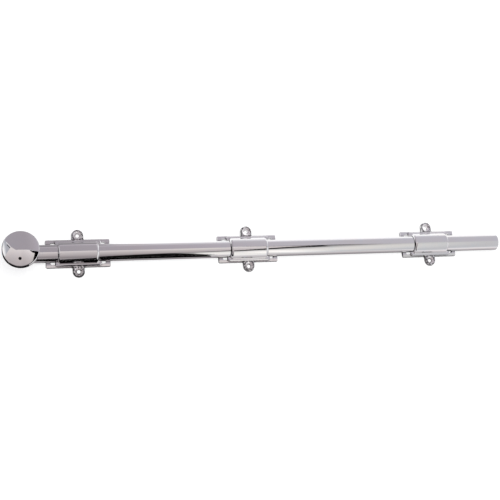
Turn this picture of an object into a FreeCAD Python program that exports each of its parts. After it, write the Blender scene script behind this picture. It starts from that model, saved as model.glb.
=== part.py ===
import FreeCAD, Part
import math
import os

import Sketcher

# Surface bolt: a half-round bar that slides through three guides and locks into a strike,
# with a round knob at one end. All lengths are in millimetres.
# X runs along the bar towards its tip, Y across it and Z out of the door.
# The origin lies on the door, under the centre of the first guide.

# driving dimensions: name, size, what it is
SIZES = [
    ("bar_width", 22.2, "half-round bar, across its flat back"),
    ("bar_length", 650.0, "bar, end to end"),
    ("bar_end_round", 1.2, "rounding of the bar's ends"),
    ("bar_behind_knob", 11.0, "bar left beyond the knob's centre"),
    ("running_gap", 0.3, "gap between the bar's back and the base plates"),
    ("arch_gap", 0.7, "gap between the bar and a guide's arch"),
    ("stop_gap", 0.3, "gap left at each end stop"),
    ("throw", 35.0, "travel of the bolt"),
    ("second_guide_at", 215.2, "second guide from the first"),
    ("third_guide_from_tip", 101.3, "third guide from the bar's tip, when drawn back"),
    ("plate_end", 10.55, "base plate beyond the flange at each end"),
    ("plate_side", 1.1, "base plate beyond the flange at each side"),
    ("plate_thickness", 2.5, "base plate"),
    ("plate_corner", 0.8, "rounding of the base plate's corners"),
    ("plate_edge_round", 0.35, "rounding of the base plate's upper edge"),
    ("plate_border", 3.0, "sloping border at each side of the base plate"),
    ("plate_border_drop", 0.45, "fall of the sloping border"),
    ("end_bar_width", 5.0, "base plate beyond its slots"),
    ("strip_width", 3.45, "base plate outside each slot"),
    ("web_width", 11.0, "base plate between its slots"),
    ("slot_corner", 2.0, "rounding of the slots' corners"),
    ("flange_end", 3.2, "flange beyond the arch at each end"),
    ("flange_side", 2.2, "flange beyond the arch at each side"),
    ("flange_thickness", 3.0, "guide's flange"),
    ("flange_corner", 3.0, "rounding of the flange's corners"),
    ("flange_edge_bevel", 0.8, "bevel of the flange's upper edge"),
    ("hump_length", 50.0, "guide's arch along the bar"),
    ("hump_wall", 2.2, "wall of the guide's arch"),
    ("hump_end_round", 3.6, "rounding of the arch's ends"),
    ("hump_foot_round", 1.2, "hollow between arch and flange"),
    ("seat_gap", 0.15, "gap between base plate and ears"),
    ("ear_reach", 6.6, "screw hole's centre beyond the flange"),
    ("ear_radius", 6.9, "rounded end of an ear"),
    ("ear_step", 1.5, "flange's top above the ears"),
    ("ear_root_round", 2.5, "hollow where an ear meets the flange"),
    ("ear_edge_round", 1.0, "rounding of an ear's upper edge"),
    ("screw_hole", 5.6, "hole for a wood screw"),
    ("screw_sink", 10.9, "countersink for its head"),
    ("knob_diameter", 43.6, "knob"),
    ("knob_lift", 8.5, "knob's underside above the bar's crown"),
    ("knob_band", 9.0, "straight side of the knob"),
    ("knob_rise", 4.9, "domed face above the knob's side"),
    ("knob_rim_round", 1.6, "rounding of the knob's upper rim"),
    ("knob_heel_round", 0.8, "rounding of the knob's lower rim"),
    ("neck_diameter", 16.4, "knob's neck"),
    ("neck_flare", 6.5, "hollow where the neck meets the knob"),
    ("bolt_screw", 6.0, "machine screw that holds the knob"),
    ("bolt_screw_head", 11.0, "its countersunk head"),
    ("bolt_screw_length", 23.0, "its length over the head"),
    ("driver_slot_width", 1.2, "slot in its head"),
    ("driver_slot_depth", 1.2, "slot in its head"),
    ("drill_gap", 0.1, "gap round the screw in the bar"),
    ("drill_spare", 1.5, "tapped hole beyond the screw's end"),
    ("stop_pin", 3.0, "diameter of the stop pin"),
    ("stop_pin_seat", 4.0, "stop pin's length in the bar"),
    ("stop_pin_reach", 1.8, "stop pin's length in the slot"),
    ("leaf_length", 40.0, "friction spring along the bar"),
    ("leaf_width", 8.0, "friction spring across the bar"),
    ("leaf_thickness", 0.5, "friction spring's strip"),
    ("leaf_pocket_depth", 1.6, "pocket for the friction spring"),
    ("leaf_pocket_gap", 0.8, "play round the friction spring"),
]

doc = FreeCAD.newDocument("surface_bolt")
sheet = doc.addObject("Spreadsheet::Sheet", "sizes")
for row, (alias, number, meaning) in enumerate(SIZES, start=1):
    sheet.set("A%d" % row, meaning)
    sheet.set("B%d" % row, str(number))
    sheet.setAlias("B%d" % row, alias)
doc.recompute()


class Length:
    """A length with its number and with its formula over the sheet's cells."""

    def __init__(self, number, formula):
        self.number = number
        self.formula = formula

    def mixed(self, other, number, sign):
        return Length(number, "(%s %s %s)" % (self.formula, sign, length(other).formula))

    def __add__(self, other):
        return self.mixed(other, self.number + length(other).number, "+")

    def __sub__(self, other):
        return self.mixed(other, self.number - length(other).number, "-")

    def __mul__(self, other):
        return self.mixed(other, self.number * length(other).number, "*")

    def __truediv__(self, other):
        return self.mixed(other, self.number / length(other).number, "/")

    def __neg__(self):
        return Length(-self.number, "(-1 * %s)" % self.formula)


def length(value):
    """Take a plain number as a length."""
    if isinstance(value, Length):
        return value
    return Length(float(value), str(value))


def root(value):
    """Square root of a length times a length."""
    return Length(math.sqrt(value.number), "sqrt(%s)" % value.formula)


def cell(alias):
    """The length that a cell of the sheet holds."""
    return Length(float(sheet.get(alias)), "sizes." + alias)


ORIGIN = length(0)

# half-round bar and the heights above the door
bar_radius = cell("bar_width") / 2
bar_back = cell("plate_thickness") + cell("running_gap")
bar_crown = bar_back + bar_radius
channel_radius = bar_radius + cell("arch_gap")
hump_radius = channel_radius + cell("hump_wall")
flange_top = cell("plate_thickness") + cell("flange_thickness")
ear_top = flange_top - cell("ear_step")

# guide, its base plate and the plate's slots, from the guide's centre
hump_half = cell("hump_length") / 2
flange_half_length = hump_half + cell("flange_end")
flange_half_width = hump_radius + cell("flange_side")
ear_hole_at = flange_half_width + cell("ear_reach")
plate_half_length = flange_half_length + cell("plate_end")
plate_half_width = flange_half_width + cell("plate_side")
slot_half_length = plate_half_length - cell("end_bar_width")
slot_inner = cell("web_width") / 2
slot_outer = plate_half_width - cell("strip_width")

# knob, where its neck meets the first guide at the end of the throw
neck_radius = cell("neck_diameter") / 2
knob_radius = cell("knob_diameter") / 2
knob_at = -(hump_half + cell("stop_gap") + cell("throw") + neck_radius)
knob_bottom = bar_crown + cell("knob_lift")
knob_shoulder = knob_bottom + cell("knob_band")
knob_apex = knob_shoulder + cell("knob_rise")
bar_start = knob_at - cell("bar_behind_knob")
bar_tip = bar_start + cell("bar_length")

# guides along the bar
guide_places = [ORIGIN, cell("second_guide_at"), bar_tip - cell("third_guide_from_tip")]

# screw that holds the knob, from the bar's flat back
screw_radius = cell("bolt_screw") / 2
screw_head_radius = cell("bolt_screw_head") / 2
screw_top = bar_back + cell("bolt_screw_length")

# stop pin in the bar's back, at rest against the end of a slot in the second guide's plate
pin_radius = cell("stop_pin") / 2
pin_at = guide_places[1] - slot_half_length + pin_radius + cell("stop_gap")
pin_side = slot_inner + cell("slot_corner")

# friction spring in the base plate's pocket
leaf_half = cell("leaf_length") / 2
leaf_floor = cell("plate_thickness") - cell("leaf_pocket_depth")
leaf_rise = cell("leaf_pocket_depth") - cell("leaf_thickness")
leaf_inner_radius = (leaf_half * leaf_half + leaf_rise * leaf_rise) / (leaf_rise * 2)
leaf_centre = leaf_floor + leaf_rise - leaf_inner_radius


def bind(thing, property_name, value):
    """Tie a property to the sheet."""
    thing.setExpression(property_name, value.formula)


def new_body(name, x=ORIGIN):
    """Start a piece, placed along the bar."""
    body = doc.addObject("PartDesign::Body", name)
    body.Label = name
    bind(body, "Placement.Base.x", x)
    return body


def new_sketch(body, plane, name, height=ORIGIN):
    """Start a sketch on one of the piece's own origin planes, raised to a height."""
    sketch = body.newObject("Sketcher::SketchObject", name)
    support = [f for f in body.Origin.OriginFeatures if f.Role == plane][0]
    sketch.AttachmentSupport = (support, [""])
    sketch.MapMode = "FlatFace"
    bind(sketch, "AttachmentOffset.Base.z", height)
    return sketch


def dimension(sketch, kind, geometry, point, value):
    """Fix one coordinate or one radius, tied to the sheet."""
    if kind == "Radius":
        index = sketch.addConstraint(Sketcher.Constraint(kind, geometry, value.number))
    else:
        index = sketch.addConstraint(Sketcher.Constraint(kind, geometry, point, value.number))
    sketch.setExpression("Constraints[%d]" % index, value.formula)


def arc_between(start, end, radius, side):
    """The short arc from start to end whose centre lies left (1) or right (-1) of them."""
    chord = end - start
    half = chord.Length / 2
    middle = (start + end) * 0.5
    left = FreeCAD.Vector(-chord.y, chord.x, 0).normalize()
    centre = middle + left * (side * math.sqrt(max(radius * radius - half * half, 0)))
    angles = [math.atan2(p.y - centre.y, p.x - centre.x) for p in (start, end)]
    if side < 0:
        angles.reverse()
    circle = Part.Circle(centre, FreeCAD.Vector(0, 0, 1), radius)
    return Part.ArcOfCircle(circle, angles[0], angles[1])


def draw(sketch, corners):
    """Draw one closed outline.

    Each corner is (x, y), reached by a straight line, or (x, y, radius, side), reached by an arc.
    A radius of None makes half a circle. The first corner closes the outline.
    """
    points = [FreeCAD.Vector(c[0].number, c[1].number, 0) for c in corners]
    first = sketch.GeometryCount
    count = len(corners)
    ends = []
    for i in range(count):
        start, end = points[i - 1], points[i]
        if len(corners[i]) == 2:
            sketch.addGeometry(Part.LineSegment(start, end))
            ends.append((1, 2))
            continue
        radius, side = corners[i][2:]
        size = (end - start).Length / 2 if radius is None else radius.number
        sketch.addGeometry(arc_between(start, end, size, side))
        ends.append((1, 2) if side > 0 else (2, 1))
    for i in range(count):
        following = (i + 1) % count
        sketch.addConstraint(Sketcher.Constraint(
            "Coincident", first + i, ends[i][1], first + following, ends[following][0]))
    for i, corner in enumerate(corners):
        dimension(sketch, "DistanceX", first + i, ends[i][1], corner[0])
        dimension(sketch, "DistanceY", first + i, ends[i][1], corner[1])
        if len(corner) > 2 and corner[2] is None:
            sketch.addConstraint(Sketcher.Constraint("Symmetric", first + i, 1, first + i, 2, first + i, 3))
        elif len(corner) > 2:
            dimension(sketch, "Radius", first + i, 0, corner[2])


def draw_circle(sketch, x, y, radius):
    """Draw one circle."""
    centre = FreeCAD.Vector(x.number, y.number, 0)
    index = sketch.addGeometry(Part.Circle(centre, FreeCAD.Vector(0, 0, 1), radius.number))
    dimension(sketch, "DistanceX", index, 3, x)
    dimension(sketch, "DistanceY", index, 3, y)
    dimension(sketch, "Radius", index, 0, radius)


def draw_rounded_box(sketch, low_x, high_x, low_y, high_y, radius):
    """Draw a rectangle with rounded corners, counter-clockwise."""
    draw(sketch, [
        (low_x + radius, low_y, radius, 1),
        (high_x - radius, low_y),
        (high_x, low_y + radius, radius, 1),
        (high_x, high_y - radius),
        (high_x - radius, high_y, radius, 1),
        (low_x + radius, high_y),
        (low_x, high_y - radius, radius, 1),
        (low_x, low_y + radius),
    ])


def pad(body, sketch, name, depth, both_sides=False):
    """Thicken a sketch by a depth, or by half of it to each side."""
    feature = body.newObject("PartDesign::Pad", name)
    feature.Profile = sketch
    feature.SideType = "Symmetric" if both_sides else "One side"
    bind(feature, "Length", depth)
    doc.recompute()
    return feature


def pocket(body, sketch, name, depth=None):
    """Cut a sketch upwards by a depth, or right through both ways, and make sure that it cuts."""
    before = body.Tip.Shape.Volume
    feature = body.newObject("PartDesign::Pocket", name)
    feature.Profile = sketch
    if depth is None:
        feature.SideType = "Symmetric"
        feature.Type = "ThroughAll"
    else:
        feature.Reversed = True
        bind(feature, "Length", depth)
    doc.recompute()
    if feature.Shape.Volume >= before - 0.001:
        raise RuntimeError(body.Label + ": " + name + " cuts nothing")
    return feature


def revolve(body, sketch, name):
    """Turn a half outline round the sketch's upright axis."""
    feature = body.newObject("PartDesign::Revolution", name)
    feature.Profile = sketch
    feature.ReferenceAxis = (sketch, ["V_Axis"])
    feature.Angle = 360
    doc.recompute()
    return feature


def dress(body, kind, name, size, chosen):
    """Round or chamfer the edges of the piece that a test chooses."""
    base = body.Tip
    edges = ["Edge%d" % i for i, edge in enumerate(base.Shape.Edges, start=1) if chosen(edge)]
    if not edges:
        raise RuntimeError(body.Label + ": " + name + " finds no edge")
    feature = body.newObject("PartDesign::" + kind, name)
    feature.Base = (base, edges)
    bind(feature, "Radius" if kind == "Fillet" else "Size", size)
    doc.recompute()
    return feature


def near(value, wanted, slack=0.01):
    return abs(value - wanted) < slack


def at_height(edge, height):
    """Does the whole edge lie at a height?"""
    box = edge.BoundBox
    return near(box.ZMin, height) and near(box.ZMax, height)


def is_circle(edge, radius):
    return isinstance(edge.Curve, Part.Circle) and near(edge.Curve.Radius, radius)


def half_round(sketch, radius, floor):
    """Draw half a circle over the bar's back, with straight sides down to a floor."""
    draw(sketch, [
        (-radius, floor),
        (radius, floor),
        (radius, bar_back),
        (-radius, bar_back, None, 1),
    ])


def make_bar():
    """Half-round bar with a countersunk hole for the knob's screw and a blind one for the stop pin."""
    body = new_body("bolt_bar")
    section = new_sketch(body, "YZ_Plane", "bar_section", bar_start)
    draw(section, [
        (bar_radius, bar_back),
        (-bar_radius, bar_back, None, 1),
    ])
    pad(body, section, "bar_run", cell("bar_length"))

    def end_arc(edge):
        box = edge.BoundBox
        at_end = near(box.XMin, bar_tip.number) or near(box.XMax, bar_start.number)
        return at_end and near(box.XLength, 0) and box.ZLength > 1

    dress(body, "Fillet", "bar_ends", cell("bar_end_round"), end_arc)
    drill = new_sketch(body, "XY_Plane", "knob_screw_hole", bar_back)
    hole_radius = screw_radius + cell("drill_gap")
    draw_circle(drill, knob_at, ORIGIN, hole_radius)
    pocket(body, drill, "knob_screw_drilling")
    dress(body, "Chamfer", "knob_screw_countersink", screw_head_radius - hole_radius,
          lambda edge: at_height(edge, bar_back.number) and is_circle(edge, hole_radius.number))
    seat = new_sketch(body, "XY_Plane", "stop_pin_hole", bar_back)
    draw_circle(seat, pin_at, -pin_side, pin_radius)
    pocket(body, seat, "stop_pin_drilling", cell("stop_pin_seat"))
    return body


def make_knob():
    """Turned knob: a neck that sits on the bar, a straight side and a domed face."""
    body = new_body("knob", knob_at)
    flare = cell("neck_flare")
    dome_radius = (knob_radius * knob_radius + cell("knob_rise") * cell("knob_rise")) / (cell("knob_rise") * 2)
    outline = new_sketch(body, "XZ_Plane", "knob_outline")
    draw(outline, [
        (ORIGIN, bar_back),
        (neck_radius, bar_back),
        (neck_radius, knob_bottom - flare),
        (neck_radius + flare, knob_bottom, flare, -1),
        (knob_radius, knob_bottom),
        (knob_radius, knob_shoulder),
        (ORIGIN, knob_apex, dome_radius, 1),
    ])
    revolve(body, outline, "knob_turning")
    dress(body, "Fillet", "knob_rim", cell("knob_rim_round"),
          lambda edge: at_height(edge, knob_shoulder.number) and is_circle(edge, knob_radius.number))
    dress(body, "Fillet", "knob_heel", cell("knob_heel_round"),
          lambda edge: at_height(edge, knob_bottom.number) and is_circle(edge, knob_radius.number))
    saddle = new_sketch(body, "YZ_Plane", "saddle_section")
    draw_circle(saddle, ORIGIN, bar_back, bar_radius)
    pocket(body, saddle, "saddle")
    tapping = new_sketch(body, "XY_Plane", "tapped_hole", bar_back)
    draw_circle(tapping, ORIGIN, ORIGIN, screw_radius)
    pocket(body, tapping, "tapping", cell("bolt_screw_length") + cell("drill_spare"))
    return body


def make_knob_screw():
    """Countersunk machine screw, from the bar's back up into the knob."""
    body = new_body("knob_screw", knob_at)
    outline = new_sketch(body, "XZ_Plane", "screw_outline")
    draw(outline, [
        (ORIGIN, bar_back),
        (screw_head_radius, bar_back),
        (screw_radius, bar_back + screw_head_radius - screw_radius),
        (screw_radius, screw_top),
        (ORIGIN, screw_top),
    ])
    revolve(body, outline, "screw_turning")
    slot = new_sketch(body, "XY_Plane", "driver_slot", bar_back)
    half_width = cell("driver_slot_width") / 2
    draw(slot, [
        (-screw_head_radius, -half_width),
        (screw_head_radius, -half_width),
        (screw_head_radius, half_width),
        (-screw_head_radius, half_width),
    ])
    pocket(body, slot, "driver_slot_cut", cell("driver_slot_depth"))
    return body


def make_stop_pin():
    """Pin pressed into the bar's back, which runs in a slot of the second guide's plate."""
    pin = doc.addObject("Part::Cylinder", "stop_pin")
    pin.Label = "stop_pin"
    bind(pin, "Radius", pin_radius)
    bind(pin, "Height", cell("stop_pin_seat") + cell("stop_pin_reach"))
    bind(pin, "Placement.Base.x", pin_at)
    bind(pin, "Placement.Base.y", -pin_side)
    bind(pin, "Placement.Base.z", bar_back - cell("stop_pin_reach"))
    return pin


def draw_ears(sketch):
    """Draw the two lobes that carry the screw holes, joined under the flange."""
    radius = cell("ear_radius")
    flare = cell("ear_root_round")
    root_at = radius + flare
    block_end = root_at + flare
    edge_at = flange_half_width
    neck_at = flange_half_width + flare
    draw(sketch, [
        (block_end, edge_at),
        (root_at, edge_at),
        (radius, neck_at, flare, -1),
        (radius, ear_hole_at),
        (-radius, ear_hole_at, None, 1),
        (-radius, neck_at),
        (-root_at, edge_at, flare, -1),
        (-block_end, edge_at),
        (-block_end, -edge_at),
        (-root_at, -edge_at),
        (-radius, -neck_at, flare, -1),
        (-radius, -ear_hole_at),
        (radius, -ear_hole_at, None, 1),
        (radius, -neck_at),
        (root_at, -edge_at, flare, -1),
        (block_end, -edge_at),
    ])


def make_guide(name, x):
    """Cast guide: an arch over the bar, a flange on the base plate and two ears on the door."""
    body = new_body(name, x)
    ears = new_sketch(body, "XY_Plane", name + "_ears")
    draw_ears(ears)
    pad(body, ears, name + "_ear_pad", ear_top)

    def ear_rim(edge):
        box = edge.BoundBox
        outside = min(abs(box.YMin), abs(box.YMax)) > flange_half_width.number - 0.01
        return at_height(edge, ear_top.number) and outside

    dress(body, "Fillet", name + "_ear_rims", cell("ear_edge_round"), ear_rim)
    flange = new_sketch(body, "XY_Plane", name + "_flange", cell("plate_thickness"))
    draw_rounded_box(flange, -flange_half_length, flange_half_length,
                     -flange_half_width, flange_half_width, cell("flange_corner"))
    pad(body, flange, name + "_flange_pad", cell("flange_thickness"))
    hump = new_sketch(body, "YZ_Plane", name + "_arch")
    half_round(hump, hump_radius, cell("plate_thickness"))
    pad(body, hump, name + "_arch_pad", cell("hump_length"), both_sides=True)

    # seat for the base plate, between the ears
    seat = new_sketch(body, "XY_Plane", name + "_seat")
    seat_half = plate_half_width + cell("seat_gap")
    draw(seat, [
        (-flange_half_length, -seat_half),
        (flange_half_length, -seat_half),
        (flange_half_length, seat_half),
        (-flange_half_length, seat_half),
    ])
    pocket(body, seat, name + "_seat_cut", cell("plate_thickness"))

    top = flange_top.number
    hump_side = math.sqrt(hump_radius.number ** 2 - (flange_top - bar_back).number ** 2)

    def hump_foot(edge):
        box = edge.BoundBox
        return at_height(edge, top) and near(box.YLength, 0) and near(abs(box.YMin), hump_side)

    def flange_rim(edge):
        box = edge.BoundBox
        outside = max(abs(box.YMin), abs(box.YMax)) > hump_side + 0.1
        return at_height(edge, top) and outside

    def hump_end(edge):
        box = edge.BoundBox
        return near(box.XLength, 0) and near(abs(box.XMin), hump_half.number) and box.ZMax > top + 1

    dress(body, "Fillet", name + "_arch_ends", cell("hump_end_round"), hump_end)
    dress(body, "Fillet", name + "_foot", cell("hump_foot_round"), hump_foot)
    dress(body, "Chamfer", name + "_rim", cell("flange_edge_bevel"), flange_rim)
    channel = new_sketch(body, "YZ_Plane", name + "_channel")
    half_round(channel, channel_radius, ORIGIN)
    pocket(body, channel, name + "_channel_cut")
    holes = new_sketch(body, "XY_Plane", name + "_screw_holes")
    for side in (1, -1):
        draw_circle(holes, ORIGIN, ear_hole_at * side, cell("screw_hole") / 2)
    pocket(body, holes, name + "_drilling")
    dress(body, "Chamfer", name + "_countersinks", (cell("screw_sink") - cell("screw_hole")) / 2,
          lambda edge: at_height(edge, ear_top.number)
          and is_circle(edge, cell("screw_hole").number / 2))
    return body


def make_base_plate(name, x):
    """Base plate under a guide: sloping borders, a slot each side of the bar, a pocket for the spring."""
    body = new_body(name, x)
    plate = new_sketch(body, "XY_Plane", name + "_outline")
    draw_rounded_box(plate, -plate_half_length, plate_half_length,
                     -plate_half_width, plate_half_width, cell("plate_corner"))
    pad(body, plate, name + "_pad", cell("plate_thickness"))
    dress(body, "Fillet", name + "_edge", cell("plate_edge_round"),
          lambda edge: at_height(edge, cell("plate_thickness").number))
    borders = new_sketch(body, "YZ_Plane", name + "_borders")
    for side in (1, -1):
        draw(borders, [
            ((plate_half_width - cell("plate_border")) * side, cell("plate_thickness")),
            (plate_half_width * side, cell("plate_thickness") - cell("plate_border_drop")),
            (plate_half_width * side, cell("plate_thickness")),
        ])
    pocket(body, borders, name + "_border_cut")
    slots = new_sketch(body, "XY_Plane", name + "_slots")
    corner = cell("slot_corner")
    draw_rounded_box(slots, -slot_half_length, slot_half_length, slot_inner, slot_outer, corner)
    draw_rounded_box(slots, -slot_half_length, slot_half_length, -slot_outer, -slot_inner, corner)
    pocket(body, slots, name + "_slot_cut")
    recess = new_sketch(body, "XY_Plane", name + "_recess", leaf_floor)
    recess_half_length = (cell("leaf_length") + cell("leaf_pocket_gap")) / 2
    recess_half_width = (cell("leaf_width") + cell("leaf_pocket_gap")) / 2
    draw(recess, [
        (-recess_half_length, -recess_half_width),
        (recess_half_length, -recess_half_width),
        (recess_half_length, recess_half_width),
        (-recess_half_length, recess_half_width),
    ])
    pocket(body, recess, name + "_recess_cut", cell("leaf_pocket_depth"))
    return body


def make_spring(name, x):
    """Bowed leaf spring, ends on the pocket's floor and crown under the bar."""
    body = new_body(name, x)
    bow = new_sketch(body, "XZ_Plane", name + "_bow")
    outer_radius = leaf_inner_radius + cell("leaf_thickness")
    outer_end = leaf_centre + root(outer_radius * outer_radius - leaf_half * leaf_half)
    draw(bow, [
        (-leaf_half, leaf_floor),
        (leaf_half, leaf_floor, leaf_inner_radius, -1),
        (leaf_half, outer_end),
        (-leaf_half, outer_end, outer_radius, 1),
    ])
    pad(body, bow, name + "_pad", cell("leaf_width"), both_sides=True)
    return body


parts = [make_bar(), make_knob(), make_knob_screw(), make_stop_pin()]
for number, place in enumerate(guide_places, start=1):
    parts.append(make_guide("guide_%d" % number, place))
    parts.append(make_base_plate("base_plate_%d" % number, place))
    parts.append(make_spring("friction_spring_%d" % number, place))
doc.recompute()

for thing in doc.Objects:
    if "Invalid" in thing.State or "Error" in thing.State:
        raise RuntimeError("%s is %s" % (thing.Label, thing.State))
for part in parts:
    if part.Shape.isNull() or not part.Shape.isValid():
        raise RuntimeError(part.Label + " has no valid shape")

os.makedirs("parts", exist_ok=True)
for part in parts:
    part.Shape.exportStep("parts/%s.step" % part.Label)
    box = part.Shape.BoundBox
    print("%-20s %9.1f mm3  solids %d  x %.1f..%.1f  y %.1f..%.1f  z %.1f..%.1f" % (
        part.Label, part.Shape.Volume, len(part.Shape.Solids),
        box.XMin, box.XMax, box.YMin, box.YMax, box.ZMin, box.ZMax))
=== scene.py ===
"""Looks of the surface bolt: polished chrome on every piece, in a plain pale studio."""
import math

import bmesh
import bpy
from mathutils import Matrix, Vector

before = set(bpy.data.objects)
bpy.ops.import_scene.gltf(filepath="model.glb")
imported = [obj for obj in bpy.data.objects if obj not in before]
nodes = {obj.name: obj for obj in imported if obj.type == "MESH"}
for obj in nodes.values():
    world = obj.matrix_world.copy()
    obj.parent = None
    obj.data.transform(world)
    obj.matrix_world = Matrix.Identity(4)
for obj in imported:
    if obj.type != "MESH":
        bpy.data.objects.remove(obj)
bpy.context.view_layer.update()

# The camera, fitted to the photograph's bar, knob and guides. All lengths are metres.
CAMERA_AT = Vector((-0.082316, -0.287812, 1.093149))
CAMERA_RIGHT = Vector((0.96587732, -0.09184182, 0.24216952))
CAMERA_UP = Vector((0.0264845, 0.96513926, 0.2603935))
CAMERA_BACK = Vector((-0.25764233, -0.24509443, 0.93463851))
LENS_MM = 65.169
SENSOR_MM = 36.0

UNSTRETCHED = (1.0, 1.0, 1.0)
WHITE = (1.0, 1.0, 1.0)


def wire(tree, source, target):
    """Links an output socket to an input socket."""
    tree.links.new(source, target)


def place(tree, kind, **settings):
    """A new node of that kind with its properties set."""
    made = tree.nodes.new(kind)
    for name, value in settings.items():
        setattr(made, name, value)
    return made


def ramp(tree, source, stops):
    """A colour ramp over stops of (place, colour)."""
    made = place(tree, "ShaderNodeValToRGB")
    points = made.color_ramp.elements
    while len(points) < len(stops):
        points.new(0.5)
    for point, (at, colour) in zip(points, stops):
        point.position = at
        point.color = (*colour, 1.0)
    wire(tree, source, made.inputs["Fac"])
    return made.outputs["Color"]


def rescale(tree, source, low, high, to_low=0.0, to_high=1.0):
    """Maps a value from low..high onto to_low..to_high, clamped."""
    made = place(tree, "ShaderNodeMapRange")
    for name, value in (("From Min", low), ("From Max", high), ("To Min", to_low), ("To Max", to_high)):
        made.inputs[name].default_value = value
    wire(tree, source, made.inputs["Value"])
    return made.outputs["Result"]


def calc(tree, operation, first, second):
    """A Math node on sockets or numbers."""
    made = place(tree, "ShaderNodeMath", operation=operation)
    for socket, value in zip(made.inputs, (first, second)):
        if isinstance(value, (int, float)):
            socket.default_value = value
        else:
            wire(tree, value, socket)
    return made.outputs["Value"]


def blend_colours(tree, factor, first, second):
    """Mixes two colours, each a socket or a plain triple, by a factor socket."""
    made = place(tree, "ShaderNodeMix", data_type="RGBA")
    wire(tree, factor, made.inputs["Factor"])
    for socket, value in ((made.inputs[6], first), (made.inputs[7], second)):
        if isinstance(value, tuple):
            socket.default_value = (*value, 1.0)
        else:
            wire(tree, value, socket)
    return made.outputs[2]


def times(tree, first, second):
    """The product of two colours, each a socket."""
    made = place(tree, "ShaderNodeMix", data_type="RGBA", blend_type="MULTIPLY")
    made.inputs["Factor"].default_value = 1.0
    wire(tree, first, made.inputs[6])
    wire(tree, second, made.inputs[7])
    return made.outputs[2]


def across(tree, source, way):
    """How far a place lies along a direction, in metres."""
    made = place(tree, "ShaderNodeVectorMath", operation="DOT_PRODUCT")
    made.inputs[1].default_value = way
    wire(tree, source, made.inputs[0])
    return made.outputs["Value"]


def nearness(tree, reach, samples):
    """Ambient occlusion: 1 in the open, towards 0 where other surfaces stand within reach."""
    made = place(tree, "ShaderNodeAmbientOcclusion", samples=samples)
    made.inputs["Distance"].default_value = reach
    return made.outputs["AO"]


def linear(*channels):
    """Scene values of display values 0 to 255."""
    out = []
    for channel in channels:
        share = channel / 255.0
        out.append(share / 12.92 if share <= 0.04045 else ((share + 0.055) / 1.055) ** 2.4)
    return tuple(out)


def greys(*rows):
    """Ramp stops of grey from (place, value) rows."""
    return [(at, (value, value, value)) for at, value in rows]


# Painted shade in creases: how near another surface has to be for the metal's colour to darken there, in
# metres.
CREASE_REACH = 0.003
CREASE_SAMPLES = 6
MILD_CREASE_SHADE = greys((0.0, 0.1), (0.4, 0.45), (0.68, 1.0))
DEEP_CREASE_SHADE = greys((0.0, 0.05), (0.45, 0.16), (0.65, 0.35), (0.85, 1.0))

# The guides' ears lie below this height. They keep the casting's uneven, stained skin.
EAR_SKIN_TOP = 0.0042
EAR_SKIN_FADE = 0.0004
EAR_SKIN_SCALE = 380.0
EAR_STAIN_SCALE = 520.0
EAR_STAINS = greys((0.40, 0.08), (0.50, 0.40), (0.58, 1.0))

# The countersinks in the ears are cut clean, without the skin's stains, and are painted lighter than the
# chrome with no crease shade: a painted highlight. Both rows of holes lie this far from the bar's middle.
HOLE_ROW = 0.0228
SCREW_HOLES = [(x, HOLE_ROW, 0.0) for x in (0.0, 0.2152, 0.4692)]
SINK_RADIUS = 0.0050
SINK_FADE = 0.0005
SINK_HIGHLIGHT_COLOUR = (0.97, 0.96, 0.97)

# Noise scales of the polish's haze and of the plating's warm and cool patches, in waves per metre.
HAZE_SCALE = 55.0
WARM_SCALE = 24.0
COOL_SCALE = 130.0


def start_group(name, inputs, outputs):
    """An empty shader node group with its named sockets, and its two end nodes."""
    group = bpy.data.node_groups.new(name, "ShaderNodeTree")
    for label, kind, value in inputs:
        socket = group.interface.new_socket(name=label, in_out="INPUT", socket_type=kind)
        socket.default_value = value
    for label, kind in outputs:
        group.interface.new_socket(name=label, in_out="OUTPUT", socket_type=kind)
    return group, place(group, "NodeGroupInput"), place(group, "NodeGroupOutput")


def noise(tree, where, scale, detail, roughness):
    """A noise texture in the piece's own metres."""
    made = place(tree, "ShaderNodeTexNoise")
    made.inputs["Detail"].default_value = detail
    made.inputs["Roughness"].default_value = roughness
    if isinstance(scale, float):
        made.inputs["Scale"].default_value = scale
    else:
        wire(tree, scale, made.inputs["Scale"])
    wire(tree, where, made.inputs["Vector"])
    return made.outputs["Fac"]


def stretched(tree, stretch):
    """The piece's coordinates, stretched by a vector, so that noise turns into streaks."""
    spot = place(tree, "ShaderNodeTexCoord")
    made = place(tree, "ShaderNodeVectorMath", operation="MULTIPLY")
    wire(tree, spot.outputs["Object"], made.inputs[0])
    if isinstance(stretch, tuple):
        made.inputs[1].default_value = stretch
    else:
        wire(tree, stretch, made.inputs[1])
    return made.outputs[0]


def make_polish_marks():
    """Roughness of a buffed surface: fine streaks one way, and soft hazy patches."""
    group, ends_in, ends_out = start_group(
        "polish marks",
        [("Stretch", "NodeSocketVector", UNSTRETCHED), ("Streak Scale", "NodeSocketFloat", 900.0),
         ("Smooth", "NodeSocketFloat", 0.04), ("Streaky", "NodeSocketFloat", 0.03),
         ("Hazy", "NodeSocketFloat", 0.02)],
        [("Roughness", "NodeSocketFloat")])
    streak_spot = stretched(group, ends_in.outputs["Stretch"])
    streaks = noise(group, streak_spot, ends_in.outputs["Streak Scale"], 4.0, 0.6)
    haze = noise(group, stretched(group, UNSTRETCHED), HAZE_SCALE, 3.0, 0.55)
    streak_part = calc(group, "MULTIPLY", rescale(group, streaks, 0.45, 0.75), ends_in.outputs["Streaky"])
    haze_part = calc(group, "MULTIPLY", rescale(group, haze, 0.4, 0.7), ends_in.outputs["Hazy"])
    total = calc(group, "ADD", ends_in.outputs["Smooth"], calc(group, "ADD", streak_part, haze_part))
    wire(group, total, ends_out.inputs["Roughness"])
    return group


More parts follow.
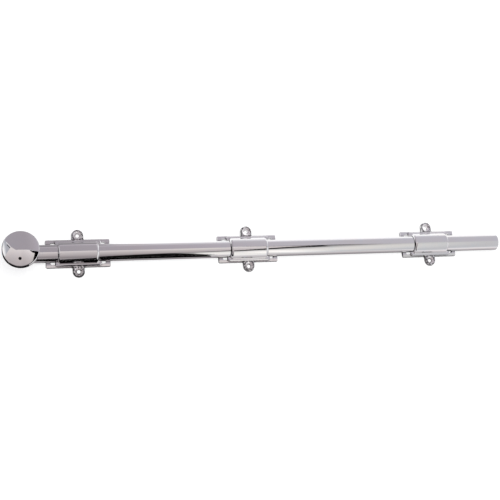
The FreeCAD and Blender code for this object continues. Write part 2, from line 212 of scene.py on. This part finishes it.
def make_plating_tone():
    """Colour of the plating: the plain metal, drifting to a warmer and a cooler tone."""
    group, ends_in, ends_out = start_group(
        "plating tone",
        [("Metal", "NodeSocketColor", (0.8, 0.8, 0.8, 1.0)),
         ("Warm", "NodeSocketColor", (0.8, 0.78, 0.77, 1.0)),
         ("Cool", "NodeSocketColor", (0.77, 0.79, 0.82, 1.0))],
        [("Color", "NodeSocketColor")])
    spot = stretched(group, UNSTRETCHED)
    warm_part = rescale(group, noise(group, spot, WARM_SCALE, 3.0, 0.5), 0.5, 0.75)
    cool_part = rescale(group, noise(group, spot, COOL_SCALE, 2.0, 0.5), 0.5, 0.8)
    warmed = blend_colours(group, warm_part, ends_in.outputs["Metal"], ends_in.outputs["Warm"])
    wire(group, blend_colours(group, cool_part, warmed, ends_in.outputs["Cool"]), ends_out.inputs["Color"])
    return group


def make_surface_waves():
    """Height of the long soft waves that polishing leaves on cast and drawn metal."""
    group, ends_in, ends_out = start_group(
        "surface waves",
        [("Stretch", "NodeSocketVector", UNSTRETCHED), ("Wave Scale", "NodeSocketFloat", 60.0)],
        [("Height", "NodeSocketFloat")])
    spot = stretched(group, ends_in.outputs["Stretch"])
    wire(group, noise(group, spot, ends_in.outputs["Wave Scale"], 1.0, 0.4), ends_out.inputs["Height"])
    return group


POLISH_MARKS = make_polish_marks()
PLATING_TONE = make_plating_tone()
SURFACE_WAVES = make_surface_waves()


def use_group(tree, group, **values):
    """Places a shared effect in a material, with that material's own values."""
    made = place(tree, "ShaderNodeGroup", node_tree=group)
    for label, value in values.items():
        made.inputs[label.replace("_", " ")].default_value = value
    return made


def in_screw_holes(tree):
    """1 within the ears' countersinks, 0 outside them."""
    folded = place(tree, "ShaderNodeVectorMath", operation="ABSOLUTE")
    wire(tree, stretched(tree, (1.0, 1.0, 0.0)), folded.inputs[0])
    nearest = 1.0
    for centre in SCREW_HOLES:
        away = place(tree, "ShaderNodeVectorMath", operation="DISTANCE")
        away.inputs[1].default_value = centre
        wire(tree, folded.outputs[0], away.inputs[0])
        nearest = calc(tree, "MINIMUM", away.outputs["Value"], nearest)
    return rescale(tree, nearest, SINK_RADIUS, SINK_RADIUS + SINK_FADE, 1.0, 0.0)


def add_ear_skin(tree, height, skin):
    """The casting's skin on the low ears: the height with its lumps added, and the colour of its stains."""
    spot = stretched(tree, UNSTRETCHED)
    lumps = calc(tree, "MULTIPLY", noise(tree, spot, EAR_SKIN_SCALE, 1.0, 0.5), skin)
    how_high = across(tree, spot, (0, 0, 1))
    low_down = rescale(tree, how_high, EAR_SKIN_TOP, EAR_SKIN_TOP + EAR_SKIN_FADE, 1.0, 0.0)
    stains = ramp(tree, noise(tree, spot, EAR_STAIN_SCALE, 1.0, 0.5), EAR_STAINS)
    lumpy = calc(tree, "ADD", height, calc(tree, "MULTIPLY", lumps, low_down))
    return lumpy, blend_colours(tree, low_down, WHITE, stains)


def bare_metal(name, colours, smooth, streaky, hazy, streak_scale, stretch, wave, wave_scale,
               wave_stretch=UNSTRETCHED, crease=MILD_CREASE_SHADE, skin=0.0):
    """A polished or brushed metal of three colours: plain, warm and cool.

    wave and skin are the heights of its soft waves and of its cast skin, in metres.
    """
    material = bpy.data.materials.new(name)
    material.use_nodes = True
    tree = material.node_tree
    shader = tree.nodes["Principled BSDF"]
    shader.inputs["Metallic"].default_value = 1.0
    metal, warm, cool = ((*colour, 1.0) for colour in colours)
    tone = use_group(tree, PLATING_TONE, Metal=metal, Warm=warm, Cool=cool)
    marks = use_group(tree, POLISH_MARKS, Stretch=stretch, Streak_Scale=streak_scale, Smooth=smooth,
                      Streaky=streaky, Hazy=hazy)
    waves = use_group(tree, SURFACE_WAVES, Stretch=wave_stretch, Wave_Scale=wave_scale)
    height = calc(tree, "MULTIPLY", waves.outputs["Height"], wave)
    # Painted shade: the colour darkens where other surfaces stand near, in creases and at walls by the floor.
    shadow = ramp(tree, nearness(tree, CREASE_REACH, CREASE_SAMPLES), crease)
    colour = times(tree, tone.outputs["Color"], shadow)
    if skin:
        height, stains = add_ear_skin(tree, height, skin)
        # Painted highlight: the countersinks get a colour lighter than the chrome, with no painted crease
        # shade.
        colour = blend_colours(tree, in_screw_holes(tree), times(tree, colour, stains), SINK_HIGHLIGHT_COLOUR)
    bump = place(tree, "ShaderNodeBump")
    bump.inputs["Strength"].default_value = 1.0
    bump.inputs["Distance"].default_value = 1.0
    wire(tree, height, bump.inputs["Height"])
    wire(tree, colour, shader.inputs["Base Color"])
    wire(tree, marks.outputs["Roughness"], shader.inputs["Roughness"])
    wire(tree, bump.outputs["Normal"], shader.inputs["Normal"])
    return material


CHROME = ((0.80, 0.79, 0.80), (0.80, 0.775, 0.775), (0.775, 0.785, 0.805))
BLUED_STEEL = ((0.45, 0.45, 0.48), (0.47, 0.42, 0.38), (0.34, 0.37, 0.46))
SCREW_STEEL = ((0.60, 0.60, 0.60), (0.62, 0.59, 0.55), (0.55, 0.57, 0.6))
PIN_STEEL = ((0.50, 0.50, 0.51), (0.52, 0.49, 0.46), (0.46, 0.48, 0.51))

FINISHES = {
    "bar": bare_metal(
        "drawn bar chrome", CHROME, smooth=0.035, streaky=0.03, hazy=0.02, streak_scale=700.0,
        stretch=(0.02, 1.0, 1.0), wave=0.00001, wave_scale=40.0, wave_stretch=(0.25, 1.0, 1.0)),
    "knob": bare_metal(
        "turned knob chrome", CHROME, smooth=0.03, streaky=0.02, hazy=0.02, streak_scale=500.0,
        stretch=UNSTRETCHED, wave=0.000006, wave_scale=70.0),
    "guide": bare_metal(
        "cast guide chrome", CHROME, smooth=0.04, streaky=0.03, hazy=0.03, streak_scale=600.0,
        stretch=(0.3, 1.0, 1.0), wave=0.00004, wave_scale=55.0, skin=0.0012),
    # The plates get the deeper painted crease shade, which darkens their walls by the floor.
    "plate": bare_metal(
        "stamped plate chrome", CHROME, smooth=0.08, streaky=0.05, hazy=0.04, streak_scale=600.0,
        stretch=(0.2, 1.0, 1.0), wave=0.00008, wave_scale=90.0, crease=DEEP_CREASE_SHADE),
    "spring": bare_metal(
        "blued spring steel", BLUED_STEEL, smooth=0.25, streaky=0.15, hazy=0.08, streak_scale=900.0,
        stretch=(0.04, 1.0, 1.0), wave=0.00002, wave_scale=200.0),
    "screw": bare_metal(
        "plain screw steel", SCREW_STEEL, smooth=0.22, streaky=0.14, hazy=0.08, streak_scale=1200.0,
        stretch=(1.0, 1.0, 0.1), wave=0.00001, wave_scale=300.0),
    "pin": bare_metal(
        "ground pin steel", PIN_STEEL, smooth=0.2, streaky=0.14, hazy=0.06, streak_scale=1200.0,
        stretch=(1.0, 1.0, 0.1), wave=0.00001, wave_scale=300.0),
}
FINISH_OF = {"bolt_bar": "bar", "knob": "knob", "knob_screw": "screw", "stop_pin": "pin"}
for number in (1, 2, 3):
    FINISH_OF[f"guide_{number}"] = "guide"
    FINISH_OF[f"base_plate_{number}"] = "plate"
    FINISH_OF[f"friction_spring_{number}"] = "spring"
for name, finish in FINISH_OF.items():
    for slot in nodes[name].material_slots:
        slot.material = FINISHES[finish]


# The studio. Its paper, card and backing lie on one sloping plane above the bolt.
SLOPE = 0.47
SLOPE_TOP_Y, SLOPE_TOP_Z = 0.2, 1.34
BACKING_LIFT = 0.01
CEILING_HEIGHT = 0.25
CLOTH_HEIGHT = 0.0006
RIM_CARD_HEIGHT = CLOTH_HEIGHT + 0.0003
SMALL_CARD_HEIGHT = 0.5

# The dark disc of a lens that the knob mirrors, just in front of the camera's place.
LENS_DISC_RADIUS = 0.085
LENS_DISC_AHEAD = 0.03
LENS_DISC_SHIFT = Vector((-0.027, 0.0, 0.0))
LENS_DISC_SIDES = 32

# The floor. The camera sees a painted contact shadow, a thin dark line where pieces touch it, and the chrome
# mirrors painted shade under the bolt.
FLOOR_REACH = 6.0
FLOOR_HEIGHT = -0.0003
CONTACT_REACH = 0.0013
CONTACT_SAMPLES = 8
CONTACT_LIFT = greys((0.45, 0.0), (0.66, 0.05), (0.82, 0.72))
CONTACT_MATT = greys((0.45, 0.02), (0.66, 0.08), (0.82, 0.42))
# Painted shade under the bolt in the mirrored floor: the reach and ramp of its darkening.
UNDER_REACH = 0.012
UNDER_SAMPLES = 4
UNDER_SHADE = greys((0.0, 0.0), (0.45, 0.08), (0.6, 0.45), (0.72, 1.0))
# The mirrored floor's near and far tones blend this far to each side of the bar's middle.
HALVES_BLEND = 0.004

LAMP_AT = Vector((0.35, 0.35, 1.9))
LAMP_AIM = Vector((0.24, 0.0, 0.0))
LAMP_SIZE = 1.6
LAMP_WATTS = 14.0


def seen(*channels):
    """What a surface must give for the chrome to show that display colour."""
    return tuple(value / CHROME[0][0] for value in linear(*channels))


def tones(*rows):
    """Stops of (metres, colour) from rows of metres and the display colour that the chrome shows there."""
    return [(at, seen(*channels)) for at, *channels in rows]


def sloping(corners, lift=0.0):
    """Points of the sloping plane above (x, y) corners, raised by lift."""
    return [(x, y, SLOPE_TOP_Z - SLOPE * (SLOPE_TOP_Y - y) + lift) for x, y in corners]


def level(corners, height):
    """Points above (x, y) corners at one height."""
    return [(x, y, height) for x, y in corners]


def board(name, corners, material):
    """A flat studio board through the corners. Only reflections see it."""
    mesh = bpy.data.meshes.new(name)
    work = bmesh.new()
    work.faces.new([work.verts.new(corner) for corner in corners])
    work.to_mesh(mesh)
    work.free()
    made = bpy.data.objects.new(name, mesh)
    bpy.context.scene.collection.objects.link(made)
    mesh.materials.append(material)
    made.visible_camera = False
    made.visible_shadow = False
    made.visible_diffuse = False
    return made


def start_surface(name):
    """An empty material: itself, its tree, its Object coordinates and its output's surface socket."""
    material = bpy.data.materials.new(name)
    material.use_nodes = True
    tree = material.node_tree
    tree.nodes.clear()
    spot = place(tree, "ShaderNodeTexCoord").outputs["Object"]
    out = place(tree, "ShaderNodeOutputMaterial")
    return material, tree, spot, out.inputs["Surface"]


def tones_along(tree, source, way, stops):
    """Colours that run along a direction, given as (metres, colour) stops."""
    low, high = stops[0][0], stops[-1][0]
    placed = [((at - low) / (high - low), colour) for at, colour in stops]
    return ramp(tree, rescale(tree, across(tree, source, way), low, high), placed)


def glow(name, way, stops, *tints):
    """Emission whose colour runs along one direction and is tinted along others, as (way, stops)."""
    material, tree, spot, surface = start_surface(name)
    lamp = place(tree, "ShaderNodeEmission")
    colour = tones_along(tree, spot, way, stops)
    for tint_way, tint_stops in tints:
        colour = times(tree, colour, tones_along(tree, spot, tint_way, tint_stops))
    wire(tree, colour, lamp.inputs["Color"])
    wire(tree, lamp.outputs[0], surface)
    return material


grey_paper = glow(
    "grey paper", (0, 1, 0),
    tones((-1.9, 168, 163, 164), (-1.53, 161, 155, 157), (-1.35, 154, 148, 150), (-1.18, 139, 132, 134),
          (-1.0, 149, 142, 144), (-0.85, 159, 152, 154), (-0.75, 167, 160, 161), (-0.55, 181, 174, 175),
          (-0.35, 189, 182, 182), (-0.2, 197, 190, 190), (0.0, 208, 201, 201), (0.2, 218, 212, 211)),
    ((1, 0, 0), greys((-0.6, 0.93), (-0.1, 1.0), (0.0, 0.96), (0.1, 0.95), (0.5, 1.06), (0.8, 1.1))))
white_card = glow(
    "white card", (1, -0.55, 0),
    tones((0.65, 180, 178, 178), (0.78, 172, 170, 170), (0.80, 165, 163, 163), (0.85, 148, 146, 146),
          (0.88, 157, 155, 155), (0.905, 168, 166, 166), (0.94, 181, 179, 178), (0.965, 190, 188, 187),
          (1.0, 204, 202, 200), (1.05, 212, 210, 207), (1.2, 224, 222, 218), (1.5, 223, 221, 218),
          (3.0, 220, 219, 218)),
    ((1, 0, 0), greys((0.7, 1.0), (0.8, 0.97), (0.9, 0.9)) + [
        (1.05, (0.80, 0.82, 0.845)), (1.2, (0.705, 0.725, 0.765)), (1.45, (0.71, 0.73, 0.77)),
        (2.0, (0.84, 0.86, 0.91))]),
    ((1, 0.35, 0), greys((0.16, 1.15), (0.22, 1.4), (0.30, 1.25), (0.40, 1.0))))
ceiling_paint = glow(
    "grey ceiling", (1, 0, 0),
    tones((-0.3, 158, 153, 160), (0.0, 158, 152, 158), (0.08, 163, 157, 163), (0.15, 168, 162, 169),
          (0.22, 173, 167, 174), (0.35, 182, 178, 184), (0.7, 184, 182, 189), (0.95, 186, 185, 191),
          (1.2, 165, 164, 170), (2.2, 150, 149, 155)),
    ((0, 1, 0), greys((0.3, 1.0), (0.7, 1.04), (1.4, 1.3), (2.2, 1.7))))
pale_card = glow(
    "pale card", (0, 1, 0),
    tones((-0.262, 181, 175, 174), (-0.187, 188, 182, 180), (-0.085, 200, 195, 192), (0.008, 214, 209, 205)))
black_cloth = glow("black cloth", (0, 1, 0), [(-2.0, linear(17, 16, 17)), (1.0, linear(26, 25, 26))])
bright_edge = glow("bright edge", (0, 1, 0), tones((0.0, 226, 224, 226), (0.4, 205, 204, 208)))
bright_strip = glow("bright strip", (0, 1, 0), tones((-0.6, 250, 250, 250), (0.0, 250, 250, 250)))

FRONT_PAPER = (
    (-0.34, 0.21), (0.50, 0.2), (0.74, 0.02), (0.68, -0.04), (0.62, -0.16), (0.43, -0.70), (0.36, -0.84),
    (0.30, -0.90), (0.27, -0.97), (0.24, -1.03), (0.209, -1.14), (0.04, -1.88), (-1.6, -1.88),
    (-1.35, -0.6), (-1.09, -0.13), (-0.76, 0.53))
SIDE_CARD = (
    (1.0, 0.2), (0.90, 0.15), (0.84, 0.08), (0.79, 0.02), (0.745, -0.03), (0.745, -0.2), (0.715, -0.31),
    (0.655, -0.38), (0.46, -0.76), (0.335, -0.92), (0.42, -1.2), (0.486, -1.53), (0.59, -1.93),
    (0.77, -2.64), (2.6, -2.64), (2.6, 0.2))
SMALL_CARD = (
    (0.215, 0.008), (0.308, 0.008), (0.285, -0.090), (0.263, -0.190), (0.209, -0.261), (0.185, -0.262),
    (0.190, -0.187), (0.205, -0.070))
DARK_BACKING = ((-2.6, -1.7), (-0.4, -1.7), (-0.4, 0.195), (1.1, 0.195), (1.1, -2.64), (-2.6, -2.64))
LOW_CEILING = (
    (-0.120, 0.032), (0.46, 0.032), (0.52, 0.004), (2.2, 0.004), (2.2, 2.2), (-1.83, 2.2), (-0.265, 0.188),
    (-0.179, 0.078))
CEILING_EDGE = ((-0.179, 0.078), (-0.265, 0.188), (-0.275, 0.181), (-0.187, 0.072))
CEILING_GAP = ((-0.187, 0.072), (-0.240, 0.138), (-0.250, 0.131), (-0.195, 0.066))
DARK_FLOOR_CLOTH = (
    (-0.5, -0.003), (-0.0885, -0.003), (-0.0527, -0.0243), (-0.039, -0.0205), (-0.0385, -0.0172),
    (0.0385, -0.0172), (0.039, -0.0200), (0.168, -0.0200), (0.21, -0.25), (0.30, -0.6), (0.77, -2.64),
    (-2.6, -2.64), (-2.6, -0.003))
RIM_CARD = (
    (-0.045, -0.022), (-0.039, -0.0207), (-0.0385, -0.0177), (0.0385, -0.0177), (0.039, -0.0205),
    (0.165, -0.0205), (0.207, -0.25), (0.297, -0.6), (0.24, -0.6), (0.105, -0.30), (-0.010, -0.10))

board("front_paper", sloping(FRONT_PAPER), grey_paper)
side_card = board("side_card", sloping(SIDE_CARD), white_card)
board("small_card", level(SMALL_CARD, SMALL_CARD_HEIGHT), pale_card)
board("dark_backing", sloping(DARK_BACKING, BACKING_LIFT), black_cloth)
board("low_ceiling", level(LOW_CEILING, CEILING_HEIGHT), ceiling_paint)
board("ceiling_edge", level(CEILING_EDGE, CEILING_HEIGHT), bright_edge)
board("ceiling_gap", level(CEILING_GAP, CEILING_HEIGHT), black_cloth)
board("dark_floor_cloth", level(DARK_FLOOR_CLOTH, CLOTH_HEIGHT), black_cloth)
rim_card = board("rim_card", level(RIM_CARD, RIM_CARD_HEIGHT), bright_strip)


def light_link(piece, state):
    """Lets a board light only the knob (INCLUDE), or everything but the knob (EXCLUDE)."""
    receivers = bpy.data.collections.new(piece.name + " receivers")
    receivers.objects.link(nodes["knob"])
    receivers.collection_objects[0].light_linking.link_state = state
    piece.light_linking.receiver_collection = receivers


# The knob mirrors a dark corner of the room where the rest mirrors the white card. Its rim alone
# mirrors the bright strip on the dark cloth.
light_link(side_card, "EXCLUDE")
light_link(rim_card, "INCLUDE")

lens_centre = CAMERA_AT - CAMERA_BACK * LENS_DISC_AHEAD + LENS_DISC_SHIFT
turns = [math.tau * step / LENS_DISC_SIDES for step in range(LENS_DISC_SIDES)]
board("lens_disc", [lens_centre + LENS_DISC_RADIUS * (CAMERA_RIGHT * math.cos(a) + CAMERA_UP * math.sin(a))
                    for a in turns], black_cloth)


def matt_floor(tree, path):
    """The floor that the camera sees: white, with soft shadows and a painted contact shadow, a thin dark line
    where pieces touch it.
    """
    matt = place(tree, "ShaderNodeBsdfDiffuse")
    lift = place(tree, "ShaderNodeEmission")
    contact = nearness(tree, CONTACT_REACH, CONTACT_SAMPLES)
    # Painted contact shadow: the lift and the matt colour both darken where pieces stand near.
    wire(tree, ramp(tree, contact, CONTACT_LIFT), lift.inputs["Color"])
    wire(tree, ramp(tree, contact, CONTACT_MATT), matt.inputs["Color"])
    wire(tree, path.outputs["Is Camera Ray"], lift.inputs["Strength"])
    both = place(tree, "ShaderNodeAddShader")
    wire(tree, matt.outputs[0], both.inputs[0])
    wire(tree, lift.outputs[0], both.inputs[1])
    return both.outputs[0]


def mirrored_floor(tree, spot):
    """The floor that the chrome mirrors: its tones beyond the bar, darker towards the knob as painted shade,
    and its tones in front of it, with painted shade towards the bar and under the bolt and painted light past
    0.45 m along x.
    """
    # Painted shade: beyond the bar, the mirrored floor darkens towards the knob's end.
    far_tone = tones_along(tree, spot, (1, -1, 0), tones(
        (-0.12, 128, 124, 128), (-0.06, 152, 148, 152), (-0.02, 160, 156, 160), (0.0, 172, 168, 172),
        (0.01, 192, 189, 192), (0.02, 234, 233, 235), (0.03, 250, 250, 251)))
    # Painted shade: in front of the bar, the mirrored floor darkens towards the bar.
    near_painted_shade = tones_along(tree, spot, (0, 1, 0), tones(
        (-0.10, 205, 202, 203), (-0.059, 201, 198, 199), (-0.0316, 188, 184, 185), (-0.0224, 171, 167, 169),
        (-0.0179, 157, 153, 155), (-0.0152, 144, 140, 142), (-0.0134, 130, 126, 128),
        (-0.0120, 124, 120, 122)))
    # Painted light: the near floor grows lighter past 0.45 m along x.
    painted_light_along_bar = tones_along(tree, spot, (1, 0, 0), greys((0.45, 1.0), (0.53, 1.3)))
    # Painted shade under the bolt, from how near the bolt stands.
    painted_under_shade = ramp(tree, nearness(tree, UNDER_REACH, UNDER_SAMPLES), UNDER_SHADE)
    near_floor = times(tree, times(tree, near_painted_shade, painted_light_along_bar), painted_under_shade)
    side = rescale(tree, across(tree, spot, (0, 1, 0)), -HALVES_BLEND, HALVES_BLEND)
    lamp = place(tree, "ShaderNodeEmission")
    wire(tree, blend_colours(tree, side, near_floor, far_tone), lamp.inputs["Color"])
    return lamp.outputs[0]


def make_floor():
    """The pale floor."""
    mesh = bpy.data.meshes.new("floor")
    work = bmesh.new()
    bmesh.ops.create_grid(work, x_segments=1, y_segments=1, size=FLOOR_REACH)
    bmesh.ops.translate(work, vec=(0.0, 0.0, FLOOR_HEIGHT), verts=work.verts)
    work.to_mesh(mesh)
    work.free()
    floor = bpy.data.objects.new("floor", mesh)
    bpy.context.scene.collection.objects.link(floor)
    material, tree, spot, surface = start_surface("pale floor")
    path = place(tree, "ShaderNodeLightPath")
    both = place(tree, "ShaderNodeMixShader")
    wire(tree, path.outputs["Is Glossy Ray"], both.inputs["Fac"])
    wire(tree, matt_floor(tree, path), both.inputs[1])
    wire(tree, mirrored_floor(tree, spot), both.inputs[2])
    wire(tree, both.outputs[0], surface)
    mesh.materials.append(material)


def make_room():
    """The world: white to the camera. To everything else, a pale room that is dark far to the left."""
    world = bpy.data.worlds.new("studio")
    bpy.context.scene.world = world
    world.use_nodes = True
    tree = world.node_tree
    tree.nodes.clear()
    spot = place(tree, "ShaderNodeTexCoord").outputs["Generated"]
    room = tones_along(tree, spot, (1, 0, 0), tones(
        (-1.0, 26, 24, 26), (-0.84, 36, 34, 36), (-0.80, 95, 94, 96), (-0.77, 205, 205, 206),
        (-0.75, 242, 242, 242), (-0.70, 250, 250, 249), (-0.65, 215, 216, 218), (-0.60, 172, 174, 180),
        (-0.3, 166, 166, 172), (-0.05, 165, 164, 168), (0.03, 158, 155, 159), (0.09, 160, 157, 160),
        (0.12, 176, 173, 176), (0.18, 202, 200, 203), (0.25, 224, 223, 225), (0.32, 234, 233, 235),
        (0.5, 238, 238, 239), (0.62, 205, 205, 207), (0.73, 150, 149, 152), (0.80, 165, 164, 167),
        (0.88, 236, 236, 237), (1.0, 244, 244, 245)))
    path = place(tree, "ShaderNodeLightPath")
    back = place(tree, "ShaderNodeBackground")
    wire(tree, blend_colours(tree, path.outputs["Is Camera Ray"], room, WHITE), back.inputs["Color"])
    out = place(tree, "ShaderNodeOutputWorld")
    wire(tree, back.outputs[0], out.inputs["Surface"])


def make_lamp():
    """A large soft lamp overhead that mirrors don't show."""
    light = bpy.data.lights.new("overhead_lamp", "AREA")
    light.shape = "SQUARE"
    light.size = LAMP_SIZE
    light.energy = LAMP_WATTS
    lamp = bpy.data.objects.new("overhead_lamp", light)
    bpy.context.scene.collection.objects.link(lamp)
    lamp.location = LAMP_AT
    lamp.rotation_euler = (LAMP_AIM - LAMP_AT).to_track_quat("-Z", "Y").to_euler()
    lamp.visible_glossy = False
    lamp.visible_camera = False


make_floor()
make_room()
make_lamp()

lens = bpy.data.cameras.new("camera")
lens.lens = LENS_MM
lens.sensor_width = SENSOR_MM
camera = bpy.data.objects.new("camera", lens)
bpy.context.scene.collection.objects.link(camera)
turn = Matrix((CAMERA_RIGHT, CAMERA_UP, CAMERA_BACK)).transposed().to_4x4()
camera.matrix_world = Matrix.Translation(CAMERA_AT) @ turn
bpy.context.scene.camera = camera
bpy.context.scene.view_settings.view_transform = "Standard"
